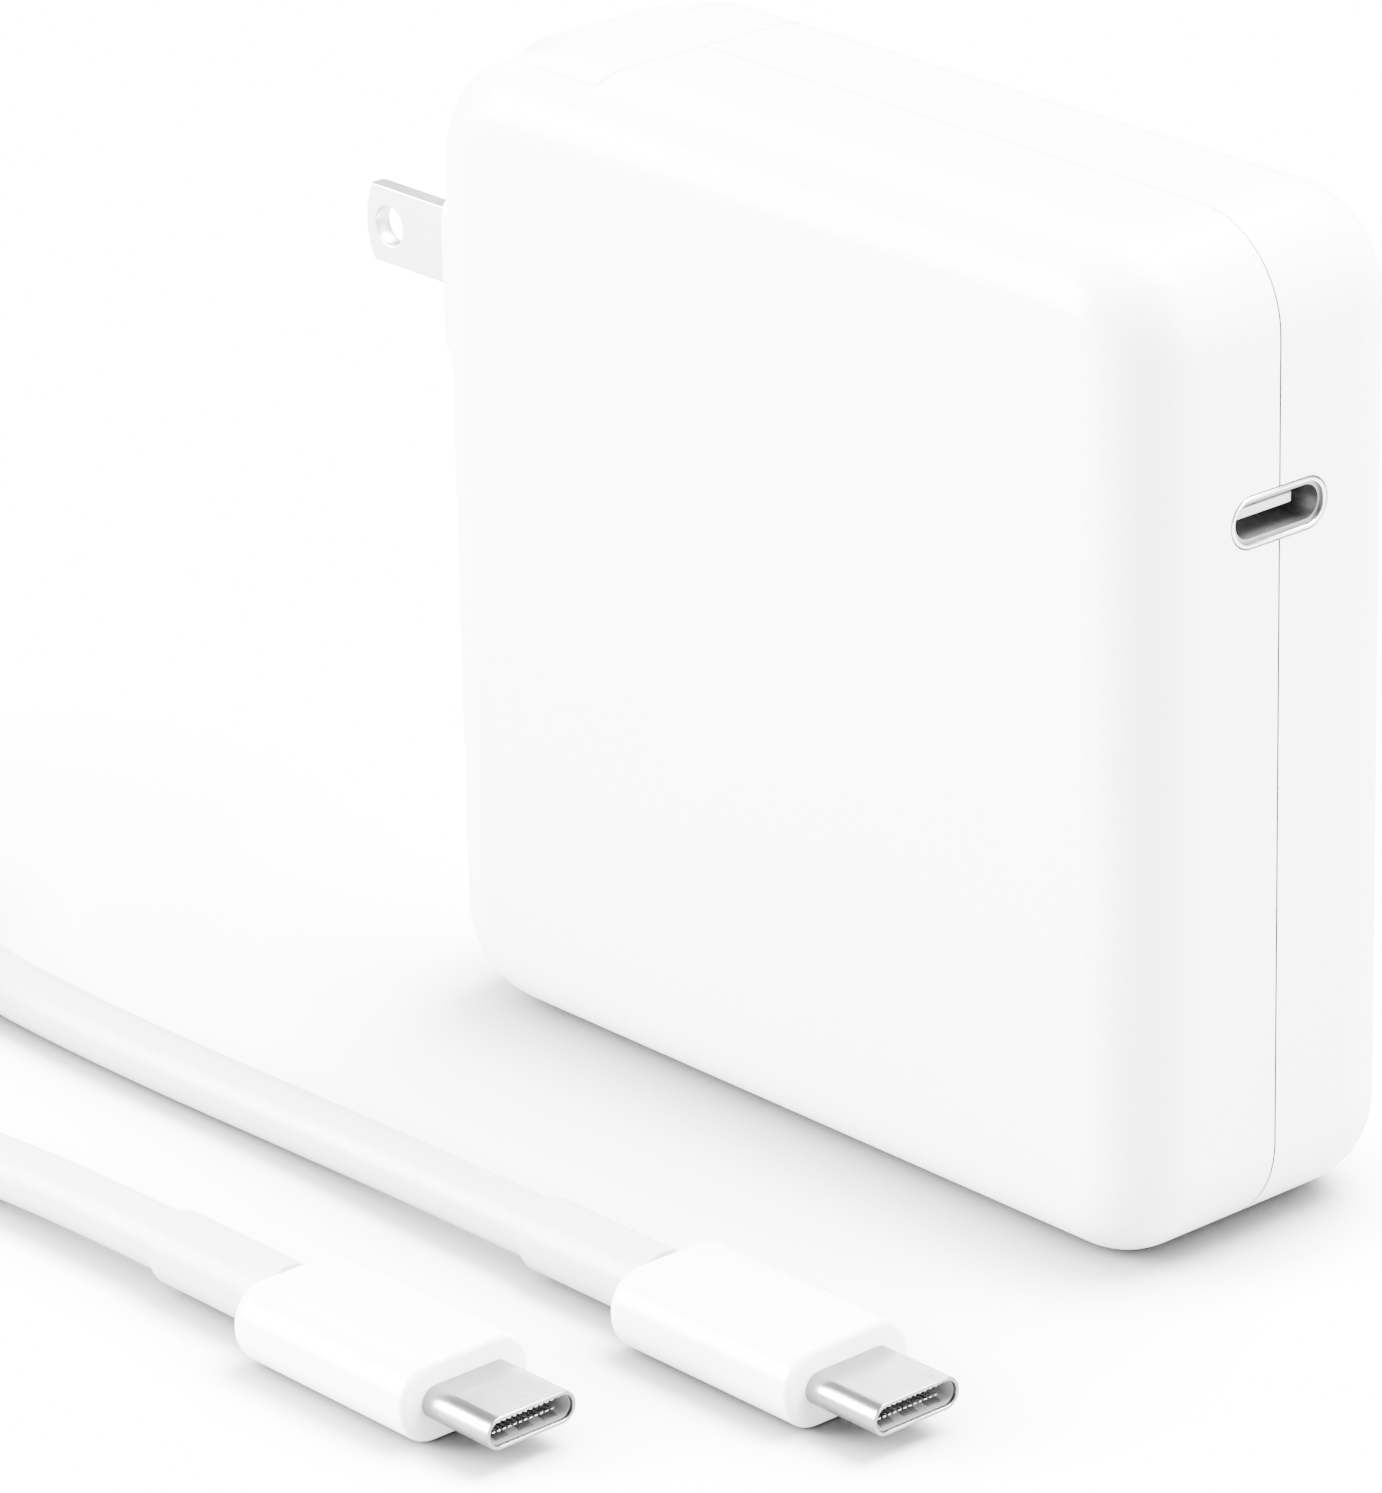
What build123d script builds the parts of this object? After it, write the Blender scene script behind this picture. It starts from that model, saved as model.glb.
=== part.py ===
from build123d import *
import os
from math import pi, radians, tan

# Laptop power adapter with a slide-off two-blade plug piece and a loose charge cable.
# Millimetres. X is the width: -X is the side with the mains blades, +X the side with the
# output port. Y is the thickness, Z is up. The adapter stands on its lower edge, and the
# origin is the centre of that resting face.

os.makedirs("parts", exist_ok=True)

# ---- driving dimensions ----
WIDTH = 80.0
THICK = 28.0
HEIGHT = 80.0
CORNER_R = 8.2
PLUG_CORNER_R = 10.0
EDGE_R = 6.0
WALL = 2.2
SEAM_GAP = 0.12
LIP_DEPTH = 1.5

# Recess for the plug piece, in the upper corner on the -X side
NOTCH_X = -21.7
NOTCH_Z = 52.5
NOTCH_HALF = 11.0
FIT_GAP = 0.15

# Plug piece
FLANK_R = 12.0
BAND_R = 9.6
BAND_HALF = 5.3
PAD_X = -41.2
PAD_TOP = 66.0
PLUG_WALL = 1.5
COVER_X = -27.2
PIVOT_X = -36.6
PIVOT_Z = 60.1
PIN_R = 1.2
RUN_CLEAR = 0.05
BARREL_R = 3.5
BARREL_HALF = 9.0

# Mains blades
BLADE_TIP_X = -54.8
BLADE_WIDTH = 6.35
BLADE_THICK = 1.52
BLADE_PITCH = 12.7
BLADE_SAGITTA = 0.8
BLADE_HOLE_R = 1.65
BLADE_HOLE_FROM_TIP = 3.0
SLOT_CLEAR = 0.28

# Inlet pins, their sockets and the locking stud
INLET_X = -29.6
INLET_PITCH = 8.6
INLET_PIN_R = 1.2
SOCKET_R_IN = 1.45
SOCKET_R_OUT = 1.9
STUD_Z = 63.0
STUD_STEM_R = 3.5
STUD_HEAD_R = 5.2

# Output port
PORT_Z = 58.3
PORT_RIM = (10.0, 4.2)
PORT_OUTER = (9.1, 3.3)
PORT_INNER = (8.5, 2.7)
PORT_DEPTH = 9.2
TONGUE_WIDTH = 6.7
TONGUE_THICK = 0.7
TONGUE_TIP_X = 38.2

# Boards
BOARD_FACE_Y = 7.0
BOARD_THICK = 1.6
BOARD_EDGE = 1.4

# Charge cable
CABLE_D = 4.8
SLEEVE_D = 5.8
SLEEVE_LEN = 13.2
MOULD = (12.0, 6.4, 20.0)
TIP_SHELL = (8.34, 2.56, 7.2)
TIP_WALL = 0.3
NEAR_TIP = (28.8, -63.7)
FAR_TIP = (46.2, -42.5)
COIL_CENTRE = (-112.5, -52.0)
COIL_R_OUT = 32.2
COIL_R_IN = 19.6
COIL_LAYERS = 4
COIL_BASE = 0.9
LAYER_PITCH = 4.7
CABLE_Z = CABLE_D / 2
PLUG_AXIS_Z = MOULD[1] / 2

# Hand-placed routes of the two leads, from each plug's sleeve to the coil
NEAR_ROUTE = [
    (NEAR_TIP[0] - TIP_SHELL[2] - MOULD[2] - SLEEVE_LEN, NEAR_TIP[1], PLUG_AXIS_Z),
    (-23.0, NEAR_TIP[1], PLUG_AXIS_Z),
    (-40.0, -64.2, 2.5),
    (-57.0, -67.0, CABLE_Z),
    (-73.5, -74.2, CABLE_Z),
    (-92.0, -81.8, 2.7),
    (-112.5, -84.2, 3.3),
]
FAR_ROUTE = [
    (FAR_TIP[0] - TIP_SHELL[2] - MOULD[2] - SLEEVE_LEN, FAR_TIP[1], PLUG_AXIS_Z),
    (-7.0, FAR_TIP[1], PLUG_AXIS_Z),
    (-25.0, -42.1, 2.5),
    (-42.0, -42.5, CABLE_Z),
    (-57.0, -42.3, CABLE_Z),
    (-66.5, -41.4, CABLE_Z),
    (-76.5, -36.9, 3.4),
    (-85.5, -27.9, 8.0),
    (-96.5, -19.6, 14.6),
    (-113.5, -19.7, 17.4),
]


def write(part, name):
    """Label a finished piece and write its STEP file."""
    part.label = name
    export_step(part, f"parts/{name}.step")


def case_block(inset, plug_corner_r):
    """Solid block of the case outline, moved inwards by inset, with rounded-over faces."""
    half = THICK / 2 - inset
    with BuildPart() as block:
        with BuildSketch(Plane.XZ) as outline:
            with Locations((0, HEIGHT / 2)):
                Rectangle(WIDTH - 2 * inset, HEIGHT - 2 * inset)
            left_side = outline.vertices().group_by(Axis.X)[0].sort_by(Axis.Y)
            fillet(left_side[-1], plug_corner_r - inset)
            right_side = outline.vertices().group_by(Axis.X)[-1]
            left_foot = outline.vertices().group_by(Axis.X)[0].sort_by(Axis.Y)[:1]
            fillet(right_side + left_foot, CORNER_R - inset)
        extrude(amount=half, both=True)
        rims = block.edges().group_by(Axis.Y)
        fillet(rims[0] + rims[-1], EDGE_R - inset)
    return block.part


def box_between(low, high):
    """Plain box from its lowest to its highest corner."""
    with BuildPart() as block:
        with Locations(tuple((a + b) / 2 for a, b in zip(low, high))):
            Box(*[b - a for a, b in zip(low, high)])
    return block.part


def notch_box(grow, half=NOTCH_HALF):
    """The corner recess, grown by a wall thickness, out past the case."""
    return box_between((-60, -half, NOTCH_Z - grow), (NOTCH_X + grow, half, 95))


def stadium(centre, size, x_from, x_to):
    """Rounded slot section in the YZ plane, extruded along X."""
    with BuildPart() as bar:
        with BuildSketch(Plane.YZ.offset(x_from)):
            with Locations(centre):
                SlotOverall(size[0], size[1])
        extrude(amount=x_to - x_from)
    return bar.part


def rod(radius, start, length, axis):
    """Round bar from a start point along an axis."""
    with BuildPart() as bar:
        with BuildSketch(Plane(start, z_dir=axis)):
            Circle(radius)
        extrude(amount=length)
    return bar.part


# ---- case ----
cavity_outline = case_block(WALL, PLUG_CORNER_R)
with BuildPart() as cavity:
    add(cavity_outline)
    add(notch_box(WALL, THICK), mode=Mode.SUBTRACT)

with BuildPart() as lip_ring:
    with BuildSketch(Plane.XZ.offset(-LIP_DEPTH)):
        with Locations((0, HEIGHT / 2)):
            RectangleRounded(WIDTH - WALL, HEIGHT - WALL, CORNER_R - WALL / 2)
    extrude(amount=LIP_DEPTH - SEAM_GAP / 2 + SEAM_GAP)
    add(notch_box(WALL / 2, THICK), mode=Mode.SUBTRACT)
    add(cavity.part, mode=Mode.SUBTRACT)

stud_hole = rod(STUD_STEM_R, (NOTCH_X - 1, 0, STUD_Z), WALL + 2, (1, 0, 0))
inlet_holes = [
    rod(INLET_PIN_R, (INLET_X, side * INLET_PITCH / 2, NOTCH_Z - WALL - 1), WALL + 2, (0, 0, 1))
    for side in (-1, 1)
]
port_hole = stadium((0, PORT_Z), PORT_RIM, WIDTH / 2 - WALL - 1, WIDTH / 2 + 1)


def case_half(side):
    """One moulded half of the case, before its lip or its rebate: side -1 is the front."""
    with BuildPart() as half:
        add(case_block(0, PLUG_CORNER_R))
        add(cavity.part, mode=Mode.SUBTRACT)
        add(notch_box(0), mode=Mode.SUBTRACT)
        low_y, high_y = (0, 20) if side < 0 else (-20, 0)
        add(box_between((-60, low_y, -5), (60, high_y, 90)), mode=Mode.SUBTRACT)
        reveal = box_between((-60, -SEAM_GAP / 2, -5), (60, SEAM_GAP / 2, 90))
        add(reveal, mode=Mode.SUBTRACT)
    return half.part


POST_PLACES = [(-30, 8), (30, 8), (-30, 44), (30, 72), (-12, 72)]

with BuildPart() as front_shell:
    add(case_half(-1))
    add(lip_ring.part)
    add(port_hole, mode=Mode.SUBTRACT)
    add(stud_hole, mode=Mode.SUBTRACT)
    for hole in inlet_holes:
        add(hole, mode=Mode.SUBTRACT)
write(front_shell.part, "front_shell")

with BuildPart() as rear_shell:
    add(case_half(1))
    add(lip_ring.part, mode=Mode.SUBTRACT)
    with BuildSketch(Plane.XZ.offset(-(THICK / 2 - WALL))):
        with Locations(POST_PLACES):
            Circle(2.2)
    extrude(amount=THICK / 2 - WALL - BOARD_FACE_Y - BOARD_THICK)
    add(port_hole, mode=Mode.SUBTRACT)
    add(stud_hole, mode=Mode.SUBTRACT)
    for hole in inlet_holes:
        add(hole, mode=Mode.SUBTRACT)
write(rear_shell.part, "rear_shell")

# ---- output port ----
with BuildPart() as port_rim:
    add(stadium((0, PORT_Z), PORT_RIM, WIDTH / 2 - 1.2, WIDTH / 2 + 0.04))
    add(stadium((0, PORT_Z), PORT_OUTER, WIDTH / 2 - 2, WIDTH / 2 + 1), mode=Mode.SUBTRACT)
write(port_rim.part, "port_rim")

port_back = WIDTH / 2 - 0.3 - PORT_DEPTH
with BuildPart() as port_shell:
    add(stadium((0, PORT_Z), PORT_OUTER, port_back, WIDTH / 2 - 0.3))
    add(stadium((0, PORT_Z), PORT_INNER, port_back - 1, WIDTH / 2 + 1), mode=Mode.SUBTRACT)
write(port_shell.part, "port_shell")

tongue_root = port_back + 3.2
with BuildPart() as port_tongue:
    add(stadium((0, PORT_Z), PORT_INNER, port_back, tongue_root))
    add(
        box_between(
            (tongue_root, -TONGUE_WIDTH / 2, PORT_Z - TONGUE_THICK / 2),
            (TONGUE_TIP_X, TONGUE_WIDTH / 2, PORT_Z + TONGUE_THICK / 2),
        )
    )
    tip_edges = port_tongue.edges().group_by(Axis.X)[-1].filter_by(Axis.Z)
    fillet(tip_edges, 0.6)
write(port_tongue.part, "port_tongue")

CONTACT_COUNT = 12
CONTACT_PITCH = 0.5
CONTACT_THICK = 0.05
with BuildPart() as port_contacts:
    for level in (-1, 1):
        face_z = PORT_Z + level * (TONGUE_THICK / 2 + CONTACT_THICK / 2)
        with Locations(((tongue_root + TONGUE_TIP_X - 0.8) / 2, 0, face_z)):
            with GridLocations(0, CONTACT_PITCH, 1, CONTACT_COUNT):
                Box(TONGUE_TIP_X - 0.8 - tongue_root, 0.26, CONTACT_THICK)
write(port_contacts.part, "port_contacts")

# ---- mains inlet in the recess ----
with BuildPart() as inlet_block:
    block_top = NOTCH_Z - WALL
    add(box_between((INLET_X - 4, -8, block_top - 5.5), (INLET_X + 4, BOARD_FACE_Y, block_top)))
    for side in (-1, 1):
        pin_y = side * INLET_PITCH / 2
        add(rod(INLET_PIN_R, (INLET_X, pin_y, block_top - 6), 8, (0, 0, 1)), mode=Mode.SUBTRACT)
write(inlet_block.part, "inlet_block")

for pin_name, side in (("inlet_pin_front", -1), ("inlet_pin_rear", 1)):
    with BuildPart() as inlet_pin:
        pin_base = (INLET_X, side * INLET_PITCH / 2, NOTCH_Z - WALL - 5.5)
        add(rod(INLET_PIN_R, pin_base, 15.3, (0, 0, 1)))
        fillet(inlet_pin.edges().group_by(Axis.Z)[-1], 0.7)
    write(inlet_pin.part, pin_name)

with BuildPart() as locking_stud:
    add(rod(STUD_STEM_R, (NOTCH_X + WALL, 0, STUD_Z), WALL + 1.5, (-1, 0, 0)))
    add(rod(STUD_HEAD_R, (NOTCH_X - 1.5, 0, STUD_Z), 1.5, (-1, 0, 0)))
    add(rod(STUD_HEAD_R, (NOTCH_X + WALL, 0, STUD_Z), 1.2, (1, 0, 0)))
    chamfer(locking_stud.edges().group_by(Axis.X)[0], 0.3)
write(locking_stud.part, "locking_stud")

# ---- plug piece ----
PLUG_BOTTOM = NOTCH_Z + FIT_GAP
PLUG_INNER = NOTCH_X - FIT_GAP
PLUG_HALF = NOTCH_HALF - FIT_GAP

blade_slots = []
for side in (-1, 1):
    middle = side * BLADE_PITCH / 2
    half = BLADE_THICK / 2 + SLOT_CLEAR
    low = (-60, middle - half, PIVOT_Z - BLADE_WIDTH / 2 - SLOT_CLEAR)
    high = (PIVOT_X + BLADE_WIDTH / 2 + SLOT_CLEAR, middle + half, 90)
    blade_slots.append(box_between(low, high))

with BuildPart() as plug_envelope:
    add(case_block(0, FLANK_R))
    add(
        box_between((-60, -PLUG_HALF, PLUG_BOTTOM), (PLUG_INNER, PLUG_HALF, 95)),
        mode=Mode.INTERSECT,
    )

with BuildPart() as plug_band:
    add(case_block(0, BAND_R))
    add(
        box_between((-60, -BAND_HALF, PLUG_BOTTOM), (PLUG_INNER, BAND_HALF, 95)),
        mode=Mode.INTERSECT,
    )

with BuildPart() as plug_pad:
    with BuildSketch(Plane.YZ.offset(PAD_X)):
        with Locations((0, (PLUG_BOTTOM + PAD_TOP) / 2)):
            RectangleRounded(2 * PLUG_HALF, PAD_TOP - PLUG_BOTTOM, 1.6)
    extrude(amount=3.0)
    fillet(plug_pad.edges().group_by(Axis.X)[0], 0.7)

POCKET_TOP = 77.4
with BuildPart() as plug_housing:
    add(plug_envelope.part)
    add(plug_band.part)
    add(plug_pad.part)
    add(box_between((COVER_X, -20, 40), (-10, 20, 90)), mode=Mode.SUBTRACT)
    hollow_low = (PIVOT_X + 1.0, -PLUG_HALF + PLUG_WALL, PLUG_BOTTOM + PLUG_WALL)
    hollow_high = (COVER_X + 1, PLUG_HALF - PLUG_WALL, POCKET_TOP)
    add(box_between(hollow_low, hollow_high), mode=Mode.SUBTRACT)
    barrel_room = BARREL_R + SLOT_CLEAR
    add(
        rod(barrel_room, (PIVOT_X, PLUG_HALF - PLUG_WALL, PIVOT_Z), 2 * (PLUG_HALF - PLUG_WALL), (0, -1, 0)),
        mode=Mode.SUBTRACT,
    )
    for slot in blade_slots:
        add(slot, mode=Mode.SUBTRACT)
    add(rod(PIN_R, (PIVOT_X, 10.2, PIVOT_Z), 20.4, (0, -1, 0)), mode=Mode.SUBTRACT)
    for side in (-1, 1):
        socket_base = (INLET_X, side * INLET_PITCH / 2, PLUG_BOTTOM - 1)
        add(rod(SOCKET_R_OUT, socket_base, 4, (0, 0, 1)), mode=Mode.SUBTRACT)
write(plug_housing.part, "plug_housing")

with BuildPart() as plug_cover:
    add(plug_envelope.part)
    add(plug_band.part)
    add(box_between((-60, -20, 40), (COVER_X, 20, 90)), mode=Mode.SUBTRACT)
    room = 0.3
    neck_half = STUD_STEM_R + room
    head_half = STUD_HEAD_R + room
    head_low = NOTCH_X - 3.0 - room
    head_high = NOTCH_X - 1.5 + room
    neck_low = (head_high - 0.1, -neck_half, 50)
    neck_high = (PLUG_INNER + 1, neck_half, STUD_Z)
    add(box_between(neck_low, neck_high), mode=Mode.SUBTRACT)
    add(rod(neck_half, (head_high - 0.1, 0, STUD_Z), 4, (1, 0, 0)), mode=Mode.SUBTRACT)
    add(box_between((head_low, -head_half, 50), (head_high, head_half, STUD_Z)), mode=Mode.SUBTRACT)
    add(rod(head_half, (head_low, 0, STUD_Z), head_high - head_low, (1, 0, 0)), mode=Mode.SUBTRACT)
write(plug_cover.part, "plug_cover")

with BuildPart() as pivot_pin:
    add(rod(PIN_R, (PIVOT_X, 10.2, PIVOT_Z), 20.4, (0, -1, 0)))
write(pivot_pin.part, "pivot_pin")

for socket_name, side in (("plug_socket_front", -1), ("plug_socket_rear", 1)):
    with BuildPart() as plug_socket:
        socket_base = (INLET_X, side * INLET_PITCH / 2, PLUG_BOTTOM + 0.4)
        add(rod(SOCKET_R_OUT, socket_base, 9.0, (0, 0, 1)))
        add(rod(SOCKET_R_IN, socket_base, 10.0, (0, 0, 1)), mode=Mode.SUBTRACT)
    write(plug_socket.part, socket_name)

SPRING_HALF = 2.0
SPRING_TOP = 67.0
with BuildPart() as detent_spring:
    spring_x = PIVOT_X + BARREL_R + 0.25
    spring_foot = PLUG_BOTTOM + PLUG_WALL
    add(box_between((spring_x, -SPRING_HALF, spring_foot), (spring_x + 0.35, SPRING_HALF, SPRING_TOP)))
    add(box_between((spring_x, -SPRING_HALF, spring_foot), (spring_x + 1.6, SPRING_HALF, spring_foot + 0.35)))
write(detent_spring.part, "detent_spring")


def blade_outline(centre_y, thick):
    """One blade with its round pivot end, lying along -X."""
    corner_x = BLADE_TIP_X + BLADE_SAGITTA
    half = BLADE_WIDTH / 2
    with BuildPart() as blade:
        with BuildSketch(Plane.XZ.offset(-centre_y - thick / 2)):
            with BuildLine():
                Polyline((PIVOT_X, PIVOT_Z + half), (corner_x, PIVOT_Z + half))
                ThreePointArc((corner_x, PIVOT_Z + half), (BLADE_TIP_X, PIVOT_Z), (corner_x, PIVOT_Z - half))
                Polyline((corner_x, PIVOT_Z - half), (PIVOT_X, PIVOT_Z - half))
                ThreePointArc((PIVOT_X, PIVOT_Z - half), (PIVOT_X + half, PIVOT_Z), (PIVOT_X, PIVOT_Z + half))
            make_face()
        extrude(amount=thick)
    return blade.part


for blade_name, side in (("blade_front", -1), ("blade_rear", 1)):
    blade_y = side * BLADE_PITCH / 2
    with BuildPart() as blade:
        add(blade_outline(blade_y, BLADE_THICK))
        tip_edges = blade.edges().filter_by_position(Axis.X, -60, BLADE_TIP_X + BLADE_SAGITTA - 0.05)
        chamfer(tip_edges.filter_by(GeomType.CIRCLE), 0.3)
        hole_x = BLADE_TIP_X + BLADE_HOLE_FROM_TIP
        for hole_r, hole_at in ((BLADE_HOLE_R, hole_x), (PIN_R + RUN_CLEAR, PIVOT_X)):
            add(rod(hole_r, (hole_at, blade_y + 2, PIVOT_Z), 4, (0, -1, 0)), mode=Mode.SUBTRACT)
    write(blade.part, blade_name)

with BuildPart() as prong_barrel:
    add(rod(BARREL_R, (PIVOT_X, BARREL_HALF, PIVOT_Z), 2 * BARREL_HALF, (0, -1, 0)))
    chamfer(prong_barrel.edges(), 0.4)
    for side in (-1, 1):
        add(blade_outline(side * BLADE_PITCH / 2, BLADE_THICK), mode=Mode.SUBTRACT)
    add(rod(PIN_R + RUN_CLEAR, (PIVOT_X, 12, PIVOT_Z), 24, (0, -1, 0)), mode=Mode.SUBTRACT)
write(prong_barrel.part, "prong_barrel")

# ---- inside the adapter: everything stands on the rear board ----
with BuildPart() as main_board:
    low_z = WALL + BOARD_EDGE
    side_x = WIDTH / 2 - WALL - BOARD_EDGE
    high_y = BOARD_FACE_Y + BOARD_THICK
    add(box_between((-side_x, BOARD_FACE_Y, low_z), (side_x, high_y, NOTCH_Z - WALL - BOARD_EDGE)))
    add(box_between((NOTCH_X + WALL + BOARD_EDGE, BOARD_FACE_Y, low_z), (side_x, high_y, HEIGHT - low_z)))
    fillet(main_board.edges().filter_by(Axis.Y), 3.0)
write(main_board.part, "main_board")

BULK_R = 7.4
BULK_LEN = 29.0
BULK_Z = 7.0
with BuildPart() as bulk_capacitors:
    for cap_x in (-28.0, -12.5):
        add(rod(BULK_R, (cap_x, BOARD_FACE_Y - BULK_R, BULK_Z), BULK_LEN, (0, 0, 1)))
    fillet(bulk_capacitors.edges().filter_by(GeomType.CIRCLE), 0.8)
write(bulk_capacitors.part, "bulk_capacitors")

CORE_LOW = (0.0, -9.0, 9.0)
CORE_HIGH = (28.0, 5.4, 31.0)
core_mid = [(a + b) / 2 for a, b in zip(CORE_LOW, CORE_HIGH)]
with BuildPart() as transformer_core:
    add(box_between(CORE_LOW, CORE_HIGH))
    add(
        box_between((CORE_LOW[0] + 4, -20, CORE_LOW[2] + 4), (CORE_HIGH[0] - 4, 20, CORE_HIGH[2] - 4)),
        mode=Mode.SUBTRACT,
    )
    add(rod(4.6, (core_mid[0], core_mid[1], CORE_LOW[2] + 2), 18.0, (0, 0, 1)))
write(transformer_core.part, "transformer_core")

with BuildPart() as transformer_bobbin:
    add(rod(5.6, (core_mid[0], core_mid[1], CORE_LOW[2] + 4), 14.0, (0, 0, 1)))
    for flange_z in (CORE_LOW[2] + 4, CORE_HIGH[2] - 5):
        add(rod(7.1, (core_mid[0], core_mid[1], flange_z), 1.0, (0, 0, 1)))
    add(rod(4.6, (core_mid[0], core_mid[1], CORE_LOW[2]), 22.0, (0, 0, 1)), mode=Mode.SUBTRACT)
    foot_low = (CORE_LOW[0] + 4, CORE_HIGH[1] - 0.6, CORE_LOW[2] + 4)
    foot_high = (CORE_HIGH[0] - 4, BOARD_FACE_Y, CORE_LOW[2] + 5)
    add(box_between(foot_low, foot_high))
    add(rod(5.6, (core_mid[0], core_mid[1], CORE_LOW[2] + 5), 12.0, (0, 0, 1)))
    add(rod(4.6, (core_mid[0], core_mid[1], CORE_LOW[2]), 22.0, (0, 0, 1)), mode=Mode.SUBTRACT)
write(transformer_bobbin.part, "transformer_bobbin")

with BuildPart() as transformer_winding:
    add(rod(6.9, (core_mid[0], core_mid[1], CORE_LOW[2] + 5), 12.0, (0, 0, 1)))
    add(rod(5.6, (core_mid[0], core_mid[1], CORE_LOW[2]), 22.0, (0, 0, 1)), mode=Mode.SUBTRACT)
write(transformer_winding.part, "transformer_winding")

with BuildPart() as inlet_choke:
    with BuildSketch(Plane((-28.0, BOARD_FACE_Y, 40.5), z_dir=(0, -1, 0))):
        Circle(4.0)
        Circle(1.8, mode=Mode.SUBTRACT)
    extrude(amount=11.0)
    fillet(inlet_choke.edges().filter_by(GeomType.CIRCLE), 0.8)
write(inlet_choke.part, "inlet_choke")

BOARD_BLOCKS = [
    ("inlet_fuse", (-22.0, -3.0, 38.0), (-14.5, BOARD_FACE_Y, 42.0)),
    ("x_capacitor", (-22.0, -6.0, 42.8), (-6.0, BOARD_FACE_Y, 48.6)),
    ("bridge_rectifier", (-4.0, -5.0, 44.0), (12.0, BOARD_FACE_Y, 48.0)),
    ("y_capacitor", (-11.5, 1.0, 38.0), (-5.0, BOARD_FACE_Y, 41.4)),
    ("main_transistor", (1.0, -4.0, 37.0), (11.0, 4.0, 39.6)),
    ("primary_heat_sink", (-2.0, -8.0, 35.4), (30.0, BOARD_FACE_Y, 37.0)),
    ("output_rectifier", (6.0, -3.0, 66.0), (16.0, 5.0, 68.6)),
    ("output_heat_sink", (-10.0, -8.0, 64.4), (24.0, BOARD_FACE_Y, 66.0)),
    ("control_board", (-15.0, -7.0, 52.0), (-13.8, BOARD_FACE_Y, 63.0)),
]
for piece_name, low, high in BOARD_BLOCKS:
    with BuildPart() as piece:
        add(box_between(low, high))
        chamfer(piece.edges().filter_by(Axis.Y), 0.3)
    write(piece.part, piece_name)

with BuildPart() as output_capacitors:
    with BuildSketch(Plane((0, BOARD_FACE_Y, 0), x_dir=(1, 0, 0), z_dir=(0, -1, 0))):
        with Locations([(-7.5, 57.5), (1.5, 57.5), (10.5, 57.5)]):
            Circle(4.0)
    extrude(amount=13.0)
    fillet(output_capacitors.edges().filter_by(GeomType.CIRCLE), 0.5)
write(output_capacitors.part, "output_capacitors")

with BuildPart() as port_board:
    board_top = PORT_Z - PORT_OUTER[1] / 2
    add(box_between((17.0, -6.0, board_top - 1.0), (port_back + 6.0, BOARD_FACE_Y, board_top)))
write(port_board.part, "port_board")

SHEET_HALF = 33.0
spreader_y = -THICK / 2 + WALL
for sheet_name, sheet_low, sheet_high in (
    ("heat_spreader", spreader_y, spreader_y + 0.6),
    ("insulation_sheet", spreader_y + 0.6, spreader_y + 1.0),
):
    with BuildPart() as sheet:
        add(box_between((-SHEET_HALF, sheet_low, 7.0), (SHEET_HALF, sheet_high, NOTCH_Z - WALL - 1)))
        add(box_between((NOTCH_X + WALL + 1, sheet_low, 7.0), (SHEET_HALF, sheet_high, HEIGHT - 7.0)))
    write(sheet.part, sheet_name)

with BuildPart() as thermal_pad:
    pad_low = (CORE_LOW[0] + 1, spreader_y + 1.0, CORE_LOW[2] + 1)
    add(box_between(pad_low, (CORE_HIGH[0] - 1, CORE_LOW[1], CORE_HIGH[2] - 1)))
write(thermal_pad.part, "thermal_pad")

# ---- charge cable: the two plugs ----
for end, (tip_x, tip_y) in (("near", NEAR_TIP), ("far", FAR_TIP)):
    axis_at = (tip_y, PLUG_AXIS_Z)
    mould_front = tip_x - TIP_SHELL[2]
    mould_back = mould_front - MOULD[2]
    inner_size = (TIP_SHELL[0] - 2 * TIP_WALL, TIP_SHELL[1] - 2 * TIP_WALL)

    with BuildPart() as tip_shell:
        add(stadium(axis_at, TIP_SHELL[:2], mould_front - 4, tip_x))
        add(stadium(axis_at, inner_size, mould_front - 5, tip_x + 1), mode=Mode.SUBTRACT)
    write(tip_shell.part, f"{end}_tip_shell")

    with BuildPart() as tip_insulator:
        add(stadium(axis_at, inner_size, mould_front - 4, tip_x - 0.5))
        mouth_low = (tip_x - 6.0, tip_y - 3.45, PLUG_AXIS_Z - 0.4)
        mouth_high = (tip_x + 1, tip_y + 3.45, PLUG_AXIS_Z + 0.4)
        add(box_between(mouth_low, mouth_high), mode=Mode.SUBTRACT)
    write(tip_insulator.part, f"{end}_tip_insulator")

    with BuildPart() as tip_contacts:
        for level in (-1, 1):
            contact_z = PLUG_AXIS_Z + level * 0.35
            with Locations((tip_x - 3.5, tip_y, contact_z)):
                with GridLocations(0, CONTACT_PITCH, 1, CONTACT_COUNT):
                    Box(5.0, 0.26, 0.1)
    write(tip_contacts.part, f"{end}_tip_contacts")

    with BuildPart() as overmould:
        with BuildSketch(Plane.YZ.offset(mould_back)):
            with Locations(axis_at):
                RectangleRounded(MOULD[0], MOULD[1], MOULD[1] / 2 - 0.15)
        extrude(amount=MOULD[2])
        fillet(overmould.edges().group_by(Axis.X)[0], 1.6)
        fillet(overmould.edges().group_by(Axis.X)[-1], 0.5)
        add(stadium(axis_at, TIP_SHELL[:2], mould_front - 4, tip_x), mode=Mode.SUBTRACT)
    write(overmould.part, f"{end}_overmould")

    with BuildPart() as sleeve:
        add(rod(SLEEVE_D / 2, (mould_back, tip_y, PLUG_AXIS_Z), SLEEVE_LEN, (-1, 0, 0)))
        fillet(sleeve.edges().group_by(Axis.X)[0], 0.5)
    write(sleeve.part, f"{end}_sleeve")


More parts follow.
